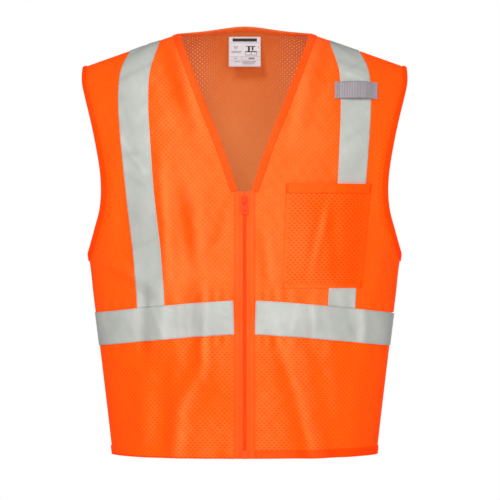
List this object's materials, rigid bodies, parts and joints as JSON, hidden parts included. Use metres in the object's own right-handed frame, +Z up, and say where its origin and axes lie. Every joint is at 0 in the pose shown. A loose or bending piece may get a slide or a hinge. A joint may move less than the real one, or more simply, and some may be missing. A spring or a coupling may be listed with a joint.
{
  "type": "high visibility vest",
  "caption": "Zip front mesh safety vest with retroreflective tapes, chest pocket, radio mic tab, bound edges and neck label, shaped as worn",
  "frame": {"origin": "midway between the two high shoulder points where the neck edge meets the shoulder seams, on the shoulder seam plane", "axes": "+Z up, -Y the vest's front, +X the wearer's left"},
  "size_m": [0.5002, 0.2585, 0.661],
  "materials": {
    "mesh_cloth": "matte fluorescent orange polyester mesh",
    "binding_cloth": "matte fluorescent orange woven tape",
    "reflective_tape": "silver grey retroreflective, satin",
    "grey_webbing": "matte ribbed webbing",
    "label_satin": "white printed satin",
    "seam_thread": "matte thread",
    "zip_cloth": "matte woven",
    "zip_coil": "satin nylon coil",
    "zip_metal": "painted orange",
    "zip_plastic": "satin"
  },
  "bodies": {
    "vest": {"armhole_binding_left_back": "binding_cloth", "armhole_binding_left_front": "binding_cloth", "armhole_binding_right_back": "binding_cloth", "armhole_binding_right_front": "binding_cloth", "back_panel": "mesh_cloth", "chest_pocket": "mesh_cloth", "chest_pocket_hem": "binding_cloth", "front_panel_left": "mesh_cloth", "front_panel_right": "mesh_cloth", "hem_binding_back": "binding_cloth", "hem_binding_left": "binding_cloth", "hem_binding_right": "binding_cloth", "mic_tab": "grey_webbing", "neck_binding_back": "binding_cloth", "neck_binding_left": "binding_cloth", "neck_binding_right": "binding_cloth", "pocket_bartacks": "seam_thread", "shoulder_seam_left": "seam_thread", "shoulder_seam_right": "seam_thread", "shoulder_tape_left_back": "reflective_tape", "shoulder_tape_left_front": "reflective_tape", "shoulder_tape_right_back": "reflective_tape", "shoulder_tape_right_front": "reflective_tape", "side_seam_left": "seam_thread", "side_seam_right": "seam_thread", "waist_tape_back": "reflective_tape", "waist_tape_left": "reflective_tape", "waist_tape_right": "reflective_tape", "zip_coil_left": "zip_coil", "zip_coil_right": "zip_coil", "zip_insertion_pin": "zip_plastic", "zip_retainer_box": "zip_plastic", "zip_tape_left": "zip_cloth", "zip_tape_right": "zip_cloth", "zip_top_stop_left": "zip_plastic", "zip_top_stop_right": "zip_plastic"},
    "slider": {"zip_slider": "zip_metal"},
    "puller": {"zip_pull": "zip_metal"},
    "label": {"neck_label": "label_satin"}
  },
  "joints": [
    {"name": "zip_slide", "type": "slide", "parent": "vest", "child": "slider", "axis": [0, 0, 1], "range_m": [-0.3655, 0]},
    {"name": "puller_swing", "type": "hinge", "parent": "slider", "child": "puller", "pos_m": [0, -0.13645, -0.2575], "axis": [1, 0, 0], "range_deg": [-165, 0]},
    {"name": "label_swing", "type": "hinge", "parent": "vest", "child": "label", "pos_m": [0, 0.068, 0.002], "axis": [1, 0, 0], "range_deg": [-80, 20]}
  ]
}
